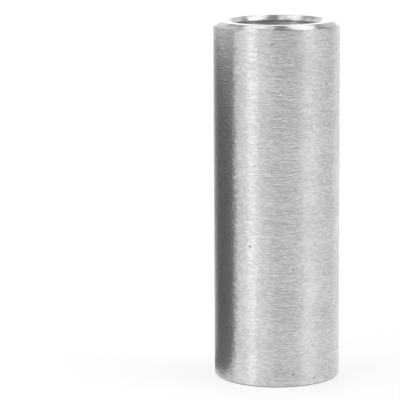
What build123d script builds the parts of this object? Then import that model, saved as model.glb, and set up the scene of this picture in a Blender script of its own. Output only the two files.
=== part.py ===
"""Spacer sleeve: a plain turned tube that goes over a bolt or a shaft and holds two faces apart.

Millimetres, +Z along the bore. The origin is the centre of the bottom end, on the surface that
the sleeve stands on.
"""

import os

from build123d import *

# Driving dimensions
bore_diameter = 10.0  # straight through, for a 10 mm bolt or shaft
wall_thickness = 2.0
length = 40.0  # the distance that the sleeve holds open
bore_chamfer = 0.5  # 45 degree lead-in at both mouths of the bore
top_chamfer = 0.5  # 45 degrees on the outer edge of the top end
bottom_edge_break = 0.2  # only the burr taken off the outer edge of the bottom end

bore_radius = bore_diameter / 2


def outer_corners(section):
    """The corners of a wall section that lie furthest from the bore, the lowest one first."""
    return section.vertices().group_by(Axis.X)[-1].sort_by(Axis.Y)


# The sleeve is turned, so one section of its wall holds its whole form: two parallel sides, two
# faced ends and a chamfered corner where they meet. In the section's plane, X is the distance
# from the bore's axis and Y is the height.
with BuildPart() as sleeve:
    with BuildSketch(Plane.XZ) as wall_section:
        with Locations((bore_radius, 0)):
            Rectangle(wall_thickness, length, align=(Align.MIN, Align.MIN))
        chamfer(wall_section.vertices().group_by(Axis.X)[0], length=bore_chamfer)
        chamfer(outer_corners(wall_section)[-1], length=top_chamfer)
        chamfer(outer_corners(wall_section)[0], length=bottom_edge_break)
    revolve(axis=Axis.Z)

sleeve.part.label = "sleeve"

os.makedirs("parts", exist_ok=True)
export_step(sleeve.part, "parts/sleeve.step")
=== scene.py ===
"""Looks of the spacer sleeve: a turned stainless steel tube that stands on a pale studio table.

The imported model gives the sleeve's sizes, and everything here is worked out from those. Lengths
are metres, and the finishes give the sizes of their marks in millimetres.
"""

from __future__ import annotations

import logging
import math
from dataclasses import dataclass, field
from enum import IntEnum
from typing import Any

import bpy
import numpy as np
from mathutils import Matrix, Vector

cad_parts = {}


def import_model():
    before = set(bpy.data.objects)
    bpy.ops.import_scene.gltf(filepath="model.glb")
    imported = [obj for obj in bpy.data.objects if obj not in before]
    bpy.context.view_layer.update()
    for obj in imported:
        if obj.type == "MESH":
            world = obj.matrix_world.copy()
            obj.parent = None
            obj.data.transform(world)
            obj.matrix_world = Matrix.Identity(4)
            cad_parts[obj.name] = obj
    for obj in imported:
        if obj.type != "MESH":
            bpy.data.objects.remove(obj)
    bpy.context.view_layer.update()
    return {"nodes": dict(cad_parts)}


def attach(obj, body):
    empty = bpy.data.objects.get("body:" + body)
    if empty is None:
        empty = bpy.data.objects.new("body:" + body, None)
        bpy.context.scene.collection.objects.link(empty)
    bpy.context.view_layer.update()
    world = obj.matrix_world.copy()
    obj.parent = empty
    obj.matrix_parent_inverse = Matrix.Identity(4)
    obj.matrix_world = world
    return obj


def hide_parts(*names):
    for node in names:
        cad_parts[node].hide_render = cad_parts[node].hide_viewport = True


LOG = logging.getLogger("spacer_sleeve")
MM = 0.001
PIECE = "turned_sleeve"
NODE = "sleeve"
BODY = "root"


# ---------------------------------------------------------------------------------------------
# Sizes and shape
# ---------------------------------------------------------------------------------------------


class Surface(IntEnum):
    """The sleeve's surfaces, numbered as its material slots are."""

    WALL = 0
    END_FACE = 1
    CHAMFER = 2
    BORE = 3


@dataclass(frozen=True)
class SleeveSizes:
    """The sizes of the turned tube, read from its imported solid."""

    outer_radius: float
    length: float
    bore_radius: float
    bore_chamfer: float
    top_chamfer: float
    edge_break: float

    @classmethod
    def from_solid(cls, solid: bpy.types.Object) -> "SleeveSizes":
        """Measures the solid's rings of vertices.

        Args:
            solid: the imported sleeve, with its axis along Z and its foot at zero.

        Returns:
            The sizes that the solid has.
        """
        points = np.array([vertex.co for vertex in solid.data.vertices])
        radii = np.hypot(points[:, 0], points[:, 1])
        heights = points[:, 2]
        tolerance = 0.01 * MM
        top_land = radii[heights > heights.max() - tolerance]
        bottom_land = radii[heights < heights.min() + tolerance]
        return cls(
            outer_radius=float(radii.max()),
            length=float(heights.max() - heights.min()),
            bore_radius=float(radii.min()),
            bore_chamfer=float(top_land.min() - radii.min()),
            top_chamfer=float(radii.max() - top_land.max()),
            edge_break=float(radii.max() - bottom_land.max()),
        )


@dataclass(frozen=True)
class Flat:
    """One straight side of the wall's section.

    Attributes:
        start: where it begins, as distance from the axis and height.
        surface: the surface that it sweeps out.
        steps: how many rings of faces it is cut into.
    """

    start: tuple[float, float]
    surface: Surface
    steps: int


@dataclass(frozen=True)
class WallSection:
    """The section of the tube's wall, with every corner slightly rounded.

    Attributes:
        sizes: the sleeve's sizes.
        corner_radius: the rounding that deburring leaves on each corner.
        corner_steps: rings of faces round one corner.
        wall_steps: rings of faces up the outside.
        end_steps: rings of faces across an end face.
        chamfer_steps: rings of faces across a chamfer.
        bore_ring: height of one ring of faces in the bore, fine enough to carry tool marks.
    """

    sizes: SleeveSizes
    corner_radius: float = 0.045 * MM
    corner_steps: int = 4
    wall_steps: int = 40
    end_steps: int = 3
    chamfer_steps: int = 2
    bore_ring: float = 0.12 * MM

    def flats(self, chamfer_share: float) -> list[Flat]:
        """Lists the section's sides, from the foot of the bore outwards and round.

        Args:
            chamfer_share: size of the two chamfers at the top, as a share of the nominal one.

        Returns:
            The sides in order, closed by the first one's start.
        """
        s = self.sizes
        top_chamfer = s.top_chamfer * chamfer_share
        top_lead_in = s.bore_chamfer * chamfer_share
        bore_rings = round((s.length - 2 * s.bore_chamfer) / self.bore_ring)
        ends, chamfers = self.end_steps, self.chamfer_steps
        return [
            Flat((s.bore_radius + s.bore_chamfer, 0), Surface.END_FACE, ends),
            Flat((s.outer_radius - s.edge_break, 0), Surface.WALL, 1),
            Flat((s.outer_radius, s.edge_break), Surface.WALL, self.wall_steps),
            Flat((s.outer_radius, s.length - top_chamfer), Surface.CHAMFER, chamfers),
            Flat((s.outer_radius - top_chamfer, s.length), Surface.END_FACE, ends),
            Flat((s.bore_radius + top_lead_in, s.length), Surface.CHAMFER, chamfers),
            Flat((s.bore_radius, s.length - top_lead_in), Surface.BORE, bore_rings),
            Flat((s.bore_radius, s.bore_chamfer), Surface.CHAMFER, chamfers),
        ]

    def outline(self, chamfer_share: float = 1.0) -> tuple[np.ndarray, list[Surface]]:
        """Walks round the section.

        Args:
            chamfer_share: size of the two chamfers at the top, as a share of the nominal one.

        Returns:
            The section's points, as distance from the axis and height, and the surface that
            follows each point.
        """
        flats = self.flats(chamfer_share)
        starts = [np.array(flat.start) for flat in flats]
        count = len(flats)
        points: list[np.ndarray] = []
        surfaces: list[Surface] = []
        for index, flat in enumerate(flats):
            before, here = starts[index - 1], starts[index]
            after = starts[(index + 1) % count]
            following = starts[(index + 2) % count]
            heading = (here - before) / np.linalg.norm(here - before)
            leaving = (after - here) / np.linalg.norm(after - here)
            beyond = (following - after) / np.linalg.norm(following - after)
            turn = math.acos(float(heading @ leaving))
            setback = self.corner_radius * math.tan(turn / 2)
            inward = np.array([-heading[1], heading[0]])
            arc_start = here - setback * heading
            for step in range(self.corner_steps):
                angle = turn * step / self.corner_steps
                offset = math.sin(angle) * heading + (1 - math.cos(angle)) * inward
                points.append(arc_start + self.corner_radius * offset)
                surfaces.append(Surface.CHAMFER)
            next_turn = math.acos(float(leaving @ beyond))
            flat_start = here + setback * leaving
            flat_end = after - self.corner_radius * math.tan(next_turn / 2) * leaving
            for step in range(flat.steps):
                points.append(flat_start + (flat_end - flat_start) * step / flat.steps)
                surfaces.append(flat.surface)
        return np.array(points), surfaces


@dataclass(frozen=True)
class ToolMarks:
    """The uneven rings that a drill leaves in a bore, as depths cut into its wall.

    Attributes:
        seed: start of the random draws.
        feed: height of one turn of the drill's spiral mark.
        feed_depth: depth of the spiral mark.
        ring_depth: depth of the random rings.
        ring_width: width of the random rings.
        ring_waves: number of waves that the rings are summed from.
        patch_waves: number of waves in the patches where the spiral shows.
        patches_in_bore: how many such patches fit in the bore's length.
        groove_count: number of deeper single grooves.
        groove_depth: depth of the deepest groove.
        groove_widths: narrowest and widest groove, in millimetres.
        groove_drift: how far a groove runs out of square.
    """

    seed: int = 7
    feed: float = 0.55 * MM
    feed_depth: float = 0.010 * MM
    ring_depth: float = 0.022 * MM
    ring_width: float = 0.22 * MM
    ring_waves: int = 24
    patch_waves: int = 3
    patches_in_bore: float = 5.0
    groove_count: int = 22
    groove_depth: float = 0.055 * MM
    groove_widths: tuple[float, float] = (0.10, 0.24)
    groove_drift: float = 0.06 * MM

    def depth(self, angle: np.ndarray, height: np.ndarray, length: float) -> np.ndarray:
        """Depth of the marks at points of the bore's wall.

        Args:
            angle: angle round the axis of each point, in radians.
            height: height of each point.
            length: length of the bore.

        Returns:
            How far each point is cut back into the wall, never below zero.
        """
        draws = np.random.default_rng(self.seed)
        spiral = np.sin(2 * math.pi * height / self.feed - angle)
        patches = self._wave(
            draws, angle, height, length / self.patches_in_bore, self.patch_waves
        )
        marks = self.feed_depth * (0.5 + 0.5 * spiral) * np.clip(0.5 + patches, 0, 1)
        rings = self._wave(draws, angle, height, self.ring_width * 5, self.ring_waves)
        marks = marks + self.ring_depth * np.clip(rings, 0, None)
        for _ in range(self.groove_count):
            middle = draws.uniform(0, length)
            width = draws.uniform(*self.groove_widths) * MM
            depth = self.groove_depth * draws.uniform(0.3, 1.0)
            heading = draws.uniform(0, 2 * math.pi)
            reach = draws.uniform(0.4, 2.0)
            drift = self.groove_drift * np.sin(angle - heading)
            profile = np.exp(-(((height - middle - drift) / width) ** 2))
            marks = marks + depth * profile * np.clip(reach + np.cos(angle - heading), 0, 1)
        return marks

    @staticmethod
    def _wave(
        draws: np.random.Generator,
        angle: np.ndarray,
        height: np.ndarray,
        longest: float,
        count: int,
    ) -> np.ndarray:
        """Sums sine waves of falling length that wander a little round the bore.

        Args:
            draws: the source of random numbers.
            angle: angle round the axis of each point.
            height: height of each point.
            longest: length of the longest wave.
            count: number of waves.

        Returns:
            The sum at each point, scaled to stay mostly within -1 and 1.
        """
        total = np.zeros(np.broadcast(angle, height).shape)
        for index in range(count):
            length = longest / (1 + index * draws.uniform(0.15, 0.35))
            wander = draws.uniform(0.2, 0.9) * np.sin(angle + draws.uniform(0, 2 * math.pi))
            phase = draws.uniform(0, 2 * math.pi)
            total = total + np.sin(2 * math.pi * height / length + phase + wander)
        return total / math.sqrt(2 * count)


# ---------------------------------------------------------------------------------------------
# Shader nodes
# ---------------------------------------------------------------------------------------------


class Sheet:
    """A node tree being drawn."""

    def __init__(self, tree: bpy.types.NodeTree) -> None:
        """Starts on an existing tree.

        Args:
            tree: the tree that nodes are added to.
        """
        self.tree = tree

    def add(self, kind: str, inputs: dict[Any, Any] | None = None, **settings: Any) -> bpy.types.Node:
        """Adds a node.

        Args:
            kind: the node's type, without its "ShaderNode" prefix.
            inputs: by name or number, a value for the socket or the socket that feeds it.
            settings: the node's own options.

        Returns:
            The new node.
        """
        node = self.tree.nodes.new("ShaderNode" + kind)
        for name, value in settings.items():
            setattr(node, name, value)
        for key, value in (inputs or {}).items():
            if isinstance(value, bpy.types.NodeSocket):
                self.tree.links.new(value, node.inputs[key])
            else:
                node.inputs[key].default_value = value
        return node

    def math(self, operation: str, *values: Any, clamp: bool = False) -> bpy.types.NodeSocket:
        """Adds a sum and gives its result.

        Args:
            operation: the sum, such as "ADD".
            values: numbers or sockets.
            clamp: keeps the result between 0 and 1.

        Returns:
            The socket that holds the result.
        """
        node = self.add("Math", dict(enumerate(values)), operation=operation, use_clamp=clamp)
        return node.outputs[0]

    def ramp(self, value: Any, low: Any, high: Any, start: float, end: float) -> bpy.types.NodeSocket:
        """Maps a value smoothly from one span onto another.

        Args:
            value: the value to map.
            low: value that maps to start.
            high: value that maps to end.
            start: result at low.
            end: result at high.

        Returns:
            The socket that holds the mapped value.
        """
        spans = {"Value": value, "From Min": low, "From Max": high, "To Min": start, "To Max": end}
        return self.add("MapRange", spans, interpolation_type="SMOOTHSTEP").outputs["Result"]

    def mix(self, share: Any, first: Any, second: Any) -> bpy.types.NodeSocket:
        """Mixes two colours.

        Args:
            share: share of the second colour.
            first: colour where the share is 0.
            second: colour where the share is 1.

        Returns:
            The socket that holds the mixed colour.
        """
        return self.add("Mix", {0: share, 6: first, 7: second}, data_type="RGBA").outputs[2]

    def group(self, group: bpy.types.NodeTree, inputs: dict[str, Any]) -> bpy.types.Node:
        """Places a node group.

        Args:
            group: the group to place.
            inputs: values or sockets for its inputs.

        Returns:
            The group's node.
        """
        node = self.tree.nodes.new("ShaderNodeGroup")
        node.node_tree = group
        for key, value in inputs.items():
            if isinstance(value, bpy.types.NodeSocket):
                self.tree.links.new(value, node.inputs[key])
            else:
                node.inputs[key].default_value = value
        return node

    def link(self, source: bpy.types.NodeSocket, target: bpy.types.NodeSocket) -> None:
        """Joins two sockets."""
        self.tree.links.new(source, target)


def new_group(name: str, inputs: dict[str, float], outputs: list[str]) -> tuple[Sheet, Any, Any]:
    """Starts a node group whose sockets are all plain numbers.

    Args:
        name: the group's name.
        inputs: each input and its usual value.
        outputs: the names of the outputs.

    Returns:
        The sheet to draw on, and the group's input and output nodes.
    """
    tree = bpy.data.node_groups.new(name, "ShaderNodeTree")
    for label, value in inputs.items():
        socket = tree.interface.new_socket(label, in_out="INPUT", socket_type="NodeSocketFloat")
        socket.default_value = value
    for label in outputs:
        tree.interface.new_socket(label, in_out="OUTPUT", socket_type="NodeSocketFloat")
    sheet = Sheet(tree)
    return sheet, sheet.tree.nodes.new("NodeGroupInput"), sheet.tree.nodes.new("NodeGroupOutput")


@dataclass(frozen=True)
class SteelEffects:
    """The node groups that the sleeve's finishes share.

    Attributes:
        tool_lines: lines that run round the axis, on any surface of a turned piece.
        specks: scattered small spots, for pits and flecks.
        mottle: soft patches.
    """

    tool_lines: bpy.types.NodeTree
    specks: bpy.types.NodeTree
    mottle: bpy.types.NodeTree

    @classmethod
    def build(cls) -> "SteelEffects":
        """Draws the three groups."""
        return cls(cls._tool_lines(), cls._specks(), cls._mottle())

    @staticmethod
    def _place(sheet: Sheet) -> bpy.types.NodeSocket:
        """Gives each point's place in millimetres."""
        place = sheet.add("TexCoord").outputs["Object"]
        scaled = sheet.add("VectorMath", {0: place, "Scale": 1 / MM}, operation="SCALE")
        return scaled.outputs[0]

    @classmethod
    def _tool_lines(cls) -> bpy.types.NodeTree:
        """Lines round the axis, thin across and long around, on walls and ends alike."""
        sheet, inputs, outputs = new_group(
            "Tool Lines",
            {"Line Width": 0.1, "Line Length": 4.0, "Detail": 2.0, "Offset": 0.0},
            ["Height"],
        )
        axes = sheet.add("SeparateXYZ", {0: cls._place(sheet)}).outputs
        across = sheet.math("SQRT", sheet.math("ADD", sheet.math("MULTIPLY", axes[0], axes[0]),
                                               sheet.math("MULTIPLY", axes[1], axes[1])))
        vector = sheet.add("CombineXYZ", {
            0: sheet.math("DIVIDE", axes[0], inputs.outputs["Line Length"]),
            1: sheet.math("DIVIDE", axes[1], inputs.outputs["Line Length"]),
            2: sheet.math("DIVIDE", across, inputs.outputs["Line Width"]),
        }).outputs[0]
        height = sheet.math("DIVIDE", axes[2], inputs.outputs["Line Width"])
        noise = sheet.add("TexNoise", {
            "Vector": vector,
            "W": sheet.math("ADD", height, inputs.outputs["Offset"]),
            "Scale": 1.0,
            "Detail": inputs.outputs["Detail"],
            "Roughness": 0.6,
        }, noise_dimensions="4D")
        sheet.link(noise.outputs[0], outputs.inputs["Height"])
        return sheet.tree

    @classmethod
    def _specks(cls) -> bpy.types.NodeTree:
        """Round spots in some of the cells of a loose grid."""
        sheet, inputs, outputs = new_group(
            "Specks", {"Spacing": 1.0, "Size": 0.1, "Share": 0.2, "Offset": 0.0}, ["Mask"]
        )
        place = cls._place(sheet)
        moved = sheet.add("VectorMath", {0: place, 1: inputs.outputs["Offset"]}, operation="ADD")
        cells = sheet.add("TexVoronoi", {
            "Vector": sheet.add("VectorMath", {
                0: moved.outputs[0],
                "Scale": sheet.math("DIVIDE", 1.0, inputs.outputs["Spacing"]),
            }, operation="SCALE").outputs[0],
            "Scale": 1.0,
        })
        reach = sheet.math("MULTIPLY", cells.outputs["Distance"], inputs.outputs["Spacing"])
        spot = sheet.ramp(reach, sheet.math("MULTIPLY", inputs.outputs["Size"], 0.4),
                          inputs.outputs["Size"], 1.0, 0.0)
        draw = sheet.add("SeparateXYZ", {0: cells.outputs["Color"]}).outputs[0]
        chosen = sheet.math("LESS_THAN", draw, inputs.outputs["Share"])
        sheet.link(sheet.math("MULTIPLY", spot, chosen), outputs.inputs["Mask"])
        return sheet.tree

    @classmethod
    def _mottle(cls) -> bpy.types.NodeTree:
        """Soft patches of any size."""
        sheet, inputs, outputs = new_group(
            "Mottle", {"Patch Size": 3.0, "Detail": 3.0, "Offset": 0.0}, ["Value"]
        )
        noise = sheet.add("TexNoise", {
            "Vector": cls._place(sheet),
            "W": inputs.outputs["Offset"],
            "Scale": sheet.math("DIVIDE", 1.0, inputs.outputs["Patch Size"]),
            "Detail": inputs.outputs["Detail"],
        }, noise_dimensions="4D")
        sheet.link(noise.outputs[0], outputs.inputs["Value"])
        return sheet.tree


# ---------------------------------------------------------------------------------------------
# Finishes
# ---------------------------------------------------------------------------------------------


PATCH_SHARE = 0.35  # share of the wear that comes from soft patches, the rest being streaks
DULL_SPAN = (0.35, 0.65)  # wear at which the metal starts to dull, and at which it is dull
ROUGH_SPAN = (0.3, 0.7)  # wear at which the metal is smoothest, and roughest


@dataclass(frozen=True)
class LineLayer:
    """One layer of tool lines.

    Attributes:
        width: width of the lines, in millimetres.
        length: length of the lines, in millimetres.
        depth: depth of the lines, in millimetres.
        detail: how many finer lines lie on them.
        offset: moves the pattern, so that no two layers agree.
    """

    width: float
    length: float
    depth: float
    detail: float = 2.0
    offset: float = 0.0


@dataclass(frozen=True)
class SpeckLayer:
    """One layer of scattered spots.

    Attributes:
        spacing: typical distance between spots, in millimetres.
        size: radius of a spot, in millimetres.
        share: share of the places that have a spot.
        depth: depth of a spot, in millimetres, or minus its height.
        offset: moves the pattern.
    """

    spacing: float
    size: float
    share: float
    depth: float
    offset: float = 0.0


@dataclass(frozen=True)
class SteelFinish:
    """A finish of bare steel that was cut or ground while it turned.

    Attributes:
        name: the material's name.
        pale: colour of the clean metal; the end faces get a paler one than the wall, as painted light.
        dull: colour of the duller patches.
        pit_shade_colour: colour in the bottom of a pit.
        roughness: lowest and highest roughness.
        anisotropy: how much wider the shine spreads across the tool lines than along them.
        lines: the layers of tool lines.
        specks: the layers of spots.
        patch: size of the duller patches, in millimetres.
    """

    name: str
    pale: tuple[float, float, float]
    dull: tuple[float, float, float]
    pit_shade_colour: tuple[float, float, float]
    roughness: tuple[float, float]
    anisotropy: float
    lines: tuple[LineLayer, ...]
    specks: tuple[SpeckLayer, ...] = ()
    patch: float = 3.0

    def build(self, effects: SteelEffects) -> bpy.types.Material:
        """Draws the material.

        Args:
            effects: the shared node groups.

        Returns:
            The finished material.
        """
        material = bpy.data.materials.new(self.name)
        material.use_nodes = True
        material.node_tree.nodes.clear()
        sheet = Sheet(material.node_tree)
        patches = sheet.group(effects.mottle, {"Patch Size": self.patch}).outputs["Value"]
        layers = [
            sheet.group(effects.tool_lines, {
                "Line Width": layer.width,
                "Line Length": layer.length,
                "Detail": layer.detail,
                "Offset": layer.offset,
            }).outputs["Height"]
            for layer in self.lines
        ]
        height = sheet.math("MULTIPLY", layers[0], self.lines[0].depth)
        for layer, socket in zip(self.lines[1:], layers[1:]):
            height = sheet.math("MULTIPLY_ADD", socket, layer.depth, height)
        pits: Any = 0.0
        for speck in self.specks:
            mask = sheet.group(effects.specks, {
                "Spacing": speck.spacing,
                "Size": speck.size,
                "Share": speck.share,
                "Offset": speck.offset,
            }).outputs["Mask"]
            height = sheet.math("MULTIPLY_ADD", mask, -speck.depth, height)
            # Only sunken spots join the mask of painted shade; raised flecks keep the metal's colour.
            if speck.depth > 0:
                pits = sheet.math("MAXIMUM", pits, mask)
        streaks = sheet.math("MULTIPLY", layers[0], 1.0 - PATCH_SHARE)
        wear = sheet.math("MULTIPLY_ADD", patches, PATCH_SHARE, streaks)
        blend = sheet.ramp(wear, *DULL_SPAN, 0.0, 1.0)
        metal = sheet.mix(blend, (*self.pale, 1.0), (*self.dull, 1.0))
        # Painted shade: the pits' mask paints the dark pit colour into every sunken spot.
        colour = sheet.mix(pits, metal, (*self.pit_shade_colour, 1.0))
        roughness = sheet.ramp(wear, *ROUGH_SPAN, *self.roughness)
        bump = sheet.add("Bump", {"Height": height, "Distance": MM, "Strength": 1.0})
        tangent = sheet.add("Tangent", direction_type="RADIAL", axis="Z")
        shader = sheet.add("BsdfPrincipled", {
            "Base Color": colour,
            "Metallic": 1.0,
            "Roughness": roughness,
            "Anisotropic": self.anisotropy,
            "Anisotropic Rotation": 0.25,
            "Normal": bump.outputs[0],
            "Tangent": tangent.outputs[0],
        })
        output = sheet.add("OutputMaterial")
        sheet.link(shader.outputs[0], output.inputs["Surface"])
        return material


# Each finish's pit colour is painted shade in its pits.
FINISHES: dict[Surface, SteelFinish] = {
    Surface.WALL: SteelFinish(
        name="ground_wall",
        pale=(0.80, 0.80, 0.80),
        dull=(0.69, 0.68, 0.685),
        pit_shade_colour=(0.24, 0.24, 0.24),
        roughness=(0.36, 0.43),
        anisotropy=0.88,
        lines=(
            LineLayer(width=0.21, length=0.48, depth=0.042, detail=1.0),
            LineLayer(width=0.20, length=1.5, depth=0.056, detail=1.2, offset=31.0),
            LineLayer(width=1.1, length=14.0, depth=0.040, detail=1.0, offset=57.0),
        ),
        specks=(
            SpeckLayer(spacing=1.2, size=0.15, share=0.10, depth=0.06, offset=3.0),
            SpeckLayer(spacing=0.9, size=0.13, share=0.3, depth=-0.008, offset=9.0),
        ),
        patch=4.0,
    ),
    Surface.END_FACE: SteelFinish(
        name="faced_end",
        # The end faces' pale and dull greys are paler than the wall's: painted light that makes the faced
        # ends read brighter.
        pale=(0.90, 0.895, 0.89),
        dull=(0.84, 0.835, 0.83),
        pit_shade_colour=(0.2, 0.2, 0.2),
        roughness=(0.18, 0.26),
        anisotropy=0.3,
        lines=(LineLayer(width=0.09, length=6.0, depth=0.003),),
        specks=(SpeckLayer(spacing=2.5, size=0.07, share=0.2, depth=0.02),),
        patch=1.6,
    ),
    Surface.CHAMFER: SteelFinish(
        name="cut_chamfer",
        pale=(0.88, 0.88, 0.885),
        dull=(0.70, 0.70, 0.705),
        pit_shade_colour=(0.3, 0.3, 0.3),
        roughness=(0.11, 0.20),
        anisotropy=0.5,
        lines=(
            LineLayer(width=0.13, length=2.2, depth=0.007, detail=2.0, offset=4.0),
            LineLayer(width=0.10, length=6.0, depth=0.005, offset=23.0),
        ),
        patch=1.2,
    ),
    Surface.BORE: SteelFinish(
        name="drilled_bore",
        pale=(0.78, 0.78, 0.78),
        dull=(0.66, 0.655, 0.65),
        pit_shade_colour=(0.10, 0.10, 0.10),
        roughness=(0.26, 0.42),
        anisotropy=0.7,
        lines=(
            LineLayer(width=0.10, length=5.0, depth=0.010),
            LineLayer(width=0.35, length=14.0, depth=0.025, offset=12.0),
        ),
        specks=(SpeckLayer(spacing=1.8, size=0.12, share=0.3, depth=0.04),),
        patch=2.5,
    ),
}


# ---------------------------------------------------------------------------------------------
# The piece
# ---------------------------------------------------------------------------------------------


@dataclass
class TurnedSleeve:
    """The sleeve itself: one section turned round the bore's axis.

    Attributes:
        sizes: the sleeve's sizes.
        marks: the tool marks in its bore.
        columns: how many faces go round the axis.
        chamfer_unevenness: how much the top chamfers' size varies round the sleeve.
        chamfer_waves: that variation's waves, as share, number round the sleeve, and phase.
        run_out: height over which the tool marks fade at each end of the bore.
        finishes: the finish of each surface.
    """

    sizes: SleeveSizes
    marks: ToolMarks = field(default_factory=ToolMarks)
    columns: int = 192
    chamfer_unevenness: float = 0.05
    chamfer_waves: tuple[tuple[float, int, float], ...] = ((0.6, 1, 0.8), (0.3, 3, 2.1), (0.2, 7, 0.0))
    run_out: float = 0.25 * MM
    finishes: dict[Surface, SteelFinish] = field(default_factory=lambda: FINISHES)

    def build(self, effects: SteelEffects) -> bpy.types.Object:
        """Makes the piece and dresses it.

        Args:
            effects: the shared node groups.

        Returns:
            The piece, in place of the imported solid.
        """
        points, surfaces = self._rings()
        piece = self._mesh(points, surfaces)
        for surface in Surface:
            piece.data.materials.append(self.finishes[surface].build(effects))
        evened = piece.modifiers.new("even_shading", "WEIGHTED_NORMAL")
        evened.weight = 100
        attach(piece, BODY)
        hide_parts(NODE)
        return piece

    def _rings(self) -> tuple[np.ndarray, list[Surface]]:
        """Places every point of the surface.

        Returns:
            The points by column, then by place in the section, and the surface that follows
            each place in the section.
        """
        section = WallSection(self.sizes)
        grid = []
        surfaces: list[Surface] = []
        for column in range(self.columns):
            angle = 2 * math.pi * column / self.columns
            share = 1 + self.chamfer_unevenness * self._wander(angle)
            outline, surfaces = section.outline(share)
            radius, height = outline[:, 0].copy(), outline[:, 1]
            in_bore = np.array([s is Surface.BORE for s in surfaces])
            fade = self._fade(height)
            depth = self.marks.depth(np.full_like(height, angle), height, self.sizes.length)
            radius[in_bore] += (depth * fade)[in_bore]
            grid.append(np.stack([radius * math.cos(angle), radius * math.sin(angle), height], 1))
        return np.array(grid), surfaces

    def _wander(self, angle: float) -> float:
        """A slow wave round the sleeve, between about -1 and 1."""
        return sum(share * math.sin(count * angle + phase) for share, count, phase in self.chamfer_waves)

    def _fade(self, height: np.ndarray) -> np.ndarray:
        """How much of the tool marks is left, which is none where the bore meets a chamfer."""
        low = (height - self.sizes.bore_chamfer) / self.run_out
        high = (self.sizes.length - self.sizes.bore_chamfer - height) / self.run_out
        return np.clip(np.minimum(low, high), 0, 1)

    def _mesh(self, points: np.ndarray, surfaces: list[Surface]) -> bpy.types.Object:
        """Joins the points into one closed skin.

        Args:
            points: the points by column, then by place in the section.
            surfaces: the surface that follows each place in the section.

        Returns:
            An object with smooth faces, each numbered by its surface.
        """
        columns, rows = points.shape[:2]
        faces = []
        slots = []
        for column in range(columns):
            beside = (column + 1) % columns
            for row in range(rows):
                above = (row + 1) % rows
                faces.append((
                    column * rows + row,
                    beside * rows + row,
                    beside * rows + above,
                    column * rows + above,
                ))
                slots.append(int(surfaces[row]))
        mesh = bpy.data.meshes.new(PIECE)
        mesh.from_pydata(points.reshape(-1, 3).tolist(), [], faces)
        mesh.polygons.foreach_set("material_index", slots)
        mesh.polygons.foreach_set("use_smooth", [True] * len(faces))
        mesh.update()
        piece = bpy.data.objects.new(PIECE, mesh)
        bpy.context.scene.collection.objects.link(piece)
        return piece


# ---------------------------------------------------------------------------------------------
# The studio
# ---------------------------------------------------------------------------------------------


@dataclass(frozen=True)
class SoftPanel:
    """A soft patch of light in the room round the table.

    Attributes:
        towards: its bearing in degrees, 0 towards the camera and positive to the right.
        half_width: half its width, in degrees of bearing.
        edge: width of its soft edge, in degrees.
        low: elevation of its lower edge, in degrees.
        high: elevation of its upper edge, in degrees.
        strength: its brightness, where 1 is white.
    """

    towards: float
    half_width: float
    edge: float
    low: float
    high: float
    strength: float


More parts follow.
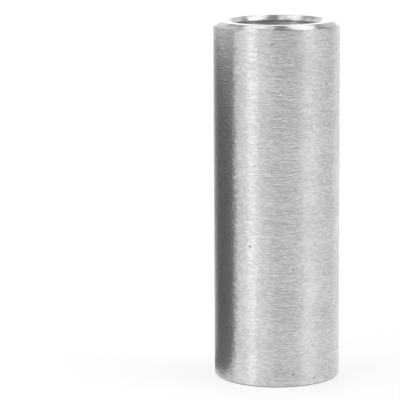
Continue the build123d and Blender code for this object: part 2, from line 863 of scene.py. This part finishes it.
@dataclass
class Studio:
    """The table, the light and the camera.

    Attributes:
        sizes: the sleeve's sizes, which the rest is set out from.
        room: brightness of the room between the panels.
        panels: the patches of light.
        table_colour: the table's own grey.
        table_lift: light that the table gives where it is seen, which takes it to white.
        table_reach: how far the table reaches from the sleeve.
        table_sides: number of sides of the round table.
        foot_gap: how far the opening under the sleeve's end stays inside its edges.
        card_bearings: bearings of the dark card's two ends, in degrees.
        card_fade: bearings between which the card thins to nothing.
        card_distance: distance of the card from the axis.
        card_height: height of the card.
        card_grey: the card's own grey.
        card_columns: number of faces along the card.
        card_foot: distance at which the card's foot begins, as a share of the sleeve's radius.
        card_lift: height of the card's foot over the table.
        stand_off: distance from the camera to the sleeve's axis.
        eye_height: height of the camera over the table.
        aim_beside: how far to the left of the axis the camera is aimed.
        aim_height: height that the camera is aimed at, at the axis.
        roll: small turn of the camera round its own line of sight, in degrees.
        lens: the camera's focal length, in millimetres, on a 36 mm sensor.
    """

    sizes: SleeveSizes
    room: float = 0.36
    panels: tuple[SoftPanel, ...] = (
        SoftPanel(-110, 18, 12, -20, 50, 0.65),
        SoftPanel(-74, 12, 12, -20, 50, 0.68),
        SoftPanel(-47, 8, 12, -20, 50, 2.2),
        SoftPanel(-22, 12, 12, -20, 50, 0.55),
        SoftPanel(62, 13, 8, -20, 50, 0.85),
        SoftPanel(88, 13, 10, -20, 50, 0.38),
        SoftPanel(145, 16, 12, -20, 50, 0.50),
        SoftPanel(180, 22, 14, -20, 50, 0.95),
        SoftPanel(-98, 24, 10, 56, 80, 1.04),
        SoftPanel(-60, 40, 10, 76, 87, 0.85),
        SoftPanel(98, 26, 10, 50, 80, 1.23),
        SoftPanel(-152, 26, 10, 6, 38, 0.6),
    )
    table_colour: float = 0.82
    table_lift: float = 0.50
    table_reach: float = 1.2
    table_sides: int = 96
    foot_gap: float = 0.05 * MM
    card_bearings: tuple[float, float] = (-67.0, -160.0)
    card_fade: tuple[float, float] = (-112.0, -155.0)
    card_distance: float = 0.017
    card_height: float = 0.037
    card_grey: float = 0.31
    card_columns: int = 24
    card_foot: float = 1.15
    card_lift: float = 0.2 * MM
    stand_off: float = 0.256877
    eye_height: float = 0.065801
    aim_beside: float = 0.008571
    aim_height: float = 0.019813
    roll: float = -0.353
    lens: float = 210.0

    def build(self) -> None:
        """Sets out the table, the dark card, the light and the camera."""
        self._table()
        self._dark_card()
        self._world()
        self._camera()
        bpy.context.scene.view_settings.view_transform = "Standard"

    def _table(self) -> None:
        """Lays the pale table, which keeps the sleeve's shadow and is open just under its end."""
        sizes = self.sizes
        rings = (
            self.table_reach,
            sizes.outer_radius - self.foot_gap,
            sizes.bore_radius + sizes.bore_chamfer - self.foot_gap,
        )
        sides = self.table_sides
        turns = [2 * math.pi * side / sides for side in range(sides)]
        points = [
            (ring * math.cos(turn), ring * math.sin(turn), 0.0) for ring in rings for turn in turns
        ]
        faces = [
            (side, (side + 1) % sides, sides + (side + 1) % sides, sides + side) for side in range(sides)
        ]
        faces.append(tuple(range(2 * sides, 3 * sides)))
        mesh = bpy.data.meshes.new("table")
        mesh.from_pydata(points, [], faces)
        table = bpy.data.objects.new("table", mesh)
        bpy.context.scene.collection.objects.link(table)
        material = bpy.data.materials.new("table_top")
        material.use_nodes = True
        material.node_tree.nodes.clear()
        sheet = Sheet(material.node_tree)
        grey = (self.table_colour,) * 3
        path = sheet.add("LightPath").outputs
        seen = sheet.math("MAXIMUM", path["Is Camera Ray"],
                          sheet.math("MAXIMUM", path["Is Glossy Ray"], path["Is Transmission Ray"]))
        shader = sheet.add("BsdfPrincipled", {
            "Base Color": (*grey, 1.0),
            "Roughness": 0.9,
            "Specular IOR Level": 0.0,
            "Emission Color": (1.0, 1.0, 1.0, 1.0),
            "Emission Strength": sheet.math("MULTIPLY", seen, self.table_lift),
        })
        clear = sheet.add("BsdfTransparent")
        underside = sheet.add("NewGeometry").outputs["Backfacing"]
        sides = sheet.add("MixShader", {0: underside, 1: shader.outputs[0], 2: clear.outputs[0]})
        output = sheet.add("OutputMaterial")
        sheet.link(sides.outputs[0], output.inputs["Surface"])
        mesh.materials.append(material)

    def _dark_card(self) -> None:
        """Stands a dark card at the left, which only the metal sees, to give the sleeve its edge."""
        first, last = (math.radians(bearing) for bearing in self.card_bearings)
        lift, distance = self.card_lift, self.card_distance
        foot = self.sizes.outer_radius * self.card_foot
        profile = [(foot, lift), (distance, lift), (distance, self.card_height)]
        columns = self.card_columns
        points = []
        for column in range(columns + 1):
            bearing = first + (last - first) * column / columns
            points += [
                (radius * math.sin(bearing), -radius * math.cos(bearing), height)
                for radius, height in profile
            ]
        rows = len(profile)
        faces = []
        for column in range(columns):
            for row in range(rows - 1):
                here = column * rows + row
                beside = here + rows
                faces.append((here, beside, beside + 1, here + 1))
        mesh = bpy.data.meshes.new("dark_card")
        mesh.from_pydata(points, [], faces)
        card = bpy.data.objects.new("dark_card", mesh)
        bpy.context.scene.collection.objects.link(card)
        card.visible_camera = False
        card.visible_diffuse = False
        card.visible_shadow = False
        mesh.materials.append(self._card_material())

    def _card_material(self) -> bpy.types.Material:
        """Makes the card a plain dark grey that thins to nothing towards its far end."""
        material = bpy.data.materials.new("dark_card")
        material.use_nodes = True
        material.node_tree.nodes.clear()
        sheet = Sheet(material.node_tree)
        axes = sheet.add("SeparateXYZ", {0: sheet.add("TexCoord").outputs["Object"]}).outputs
        leftwards = sheet.math("MULTIPLY", axes[0], -1.0)
        behind = sheet.math("DEGREES", sheet.math("ARCTAN2", axes[1], leftwards))
        start, end = (-90.0 - bearing for bearing in self.card_fade)
        shader = sheet.add("BsdfPrincipled", {
            "Base Color": (*((self.card_grey,) * 3), 1.0),
            "Roughness": 0.9,
            "Alpha": sheet.ramp(behind, start, end, 1.0, 0.0),
        })
        output = sheet.add("OutputMaterial")
        sheet.link(shader.outputs[0], output.inputs["Surface"])
        return material

    def _world(self) -> None:
        """Paints the room: dim, with soft panels of light round the table."""
        world = bpy.data.worlds.new("room")
        world.use_nodes = True
        world.node_tree.nodes.clear()
        bpy.context.scene.world = world
        sheet = Sheet(world.node_tree)
        direction = sheet.add("TexCoord").outputs["Generated"]
        light: Any = self.room
        group = self._panel_group()
        for panel in self.panels:
            bearing = math.radians(panel.towards)
            placed = sheet.group(group, {
                "Direction": direction,
                "Bearing": (math.sin(bearing), -math.cos(bearing), 0.0),
                "Half Width": panel.half_width,
                "Edge": panel.edge,
                "Low": panel.low,
                "High": panel.high,
            }).outputs["Mask"]
            light = sheet.math("MULTIPLY_ADD", placed, panel.strength, light)
        path = sheet.add("LightPath").outputs
        shown = sheet.add("Mix", {0: path["Is Camera Ray"], 2: light, 3: 1.0})
        background = sheet.add("Background", {"Strength": shown.outputs[0]})
        output = sheet.add("OutputWorld")
        sheet.link(background.outputs[0], output.inputs["Surface"])

    @staticmethod
    def _panel_group() -> bpy.types.NodeTree:
        """Draws the mask of one soft panel, by bearing and elevation."""
        sheet, inputs, outputs = new_group(
            "Soft Panel", {"Half Width": 30.0, "Edge": 10.0, "Low": 0.0, "High": 60.0}, ["Mask"]
        )
        for label in ("Direction", "Bearing"):
            sheet.tree.interface.new_socket(label, in_out="INPUT", socket_type="NodeSocketVector")
        values = inputs.outputs
        flat = sheet.add("VectorMath", {0: values["Direction"], 1: (1.0, 1.0, 0.0)}, operation="MULTIPLY")
        level = sheet.add("VectorMath", {0: flat.outputs[0]}, operation="NORMALIZE")
        pair = {0: level.outputs[0], 1: values["Bearing"]}
        cosine = sheet.add("VectorMath", pair, operation="DOT_PRODUCT")
        swing = sheet.math("DEGREES", sheet.math("ARCCOSINE", cosine.outputs["Value"]))
        half_edge = sheet.math("MULTIPLY", values["Edge"], 0.5)
        sideways = sheet.ramp(swing, sheet.math("SUBTRACT", values["Half Width"], half_edge),
                              sheet.math("ADD", values["Half Width"], half_edge), 1.0, 0.0)
        upward = sheet.add("SeparateXYZ", {0: values["Direction"]}).outputs[2]
        rise = sheet.math("DEGREES", sheet.math("ARCSINE", upward))
        bottom = sheet.ramp(rise, sheet.math("SUBTRACT", values["Low"], half_edge),
                            sheet.math("ADD", values["Low"], half_edge), 0.0, 1.0)
        top = sheet.ramp(rise, sheet.math("SUBTRACT", values["High"], half_edge),
                         sheet.math("ADD", values["High"], half_edge), 1.0, 0.0)
        mask = sheet.math("MULTIPLY", sideways, sheet.math("MULTIPLY", bottom, top))
        sheet.link(mask, outputs.inputs["Mask"])
        return sheet.tree

    def _camera(self) -> None:
        """Puts the camera in front of the sleeve and a little above it."""
        data = bpy.data.cameras.new("camera")
        data.type = "PERSP"
        data.lens = self.lens
        data.sensor_width = 36.0
        data.clip_start = 0.01
        data.clip_end = 20.0
        camera = bpy.data.objects.new("camera", data)
        bpy.context.scene.collection.objects.link(camera)
        eye = Vector((0.0, -self.stand_off, self.eye_height))
        aim = Vector((-self.aim_beside, 0.0, self.aim_height))
        turned = (aim - eye).to_track_quat("-Z", "Y").to_matrix().to_4x4()
        camera.matrix_world = (
            Matrix.Translation(eye) @ turned @ Matrix.Rotation(math.radians(self.roll), 4, "Z")
        )
        bpy.context.scene.camera = camera


def report_piece(piece: bpy.types.Object) -> None:
    """Logs a piece's size in faces.

    Args:
        piece: the finished piece.
    """
    mesh = piece.data
    LOG.info("%s: %d faces, %d finishes", piece.name, len(mesh.polygons), len(mesh.materials))


def main() -> None:
    """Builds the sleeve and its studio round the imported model."""
    logging.basicConfig(level=logging.INFO, format="%(name)s: %(message)s")
    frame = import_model()
    sizes = SleeveSizes.from_solid(frame["nodes"][NODE])
    LOG.info("sizes: %s", sizes)
    effects = SteelEffects.build()
    report_piece(TurnedSleeve(sizes).build(effects))
    Studio(sizes).build()


if __name__ == "__main__":
    main()
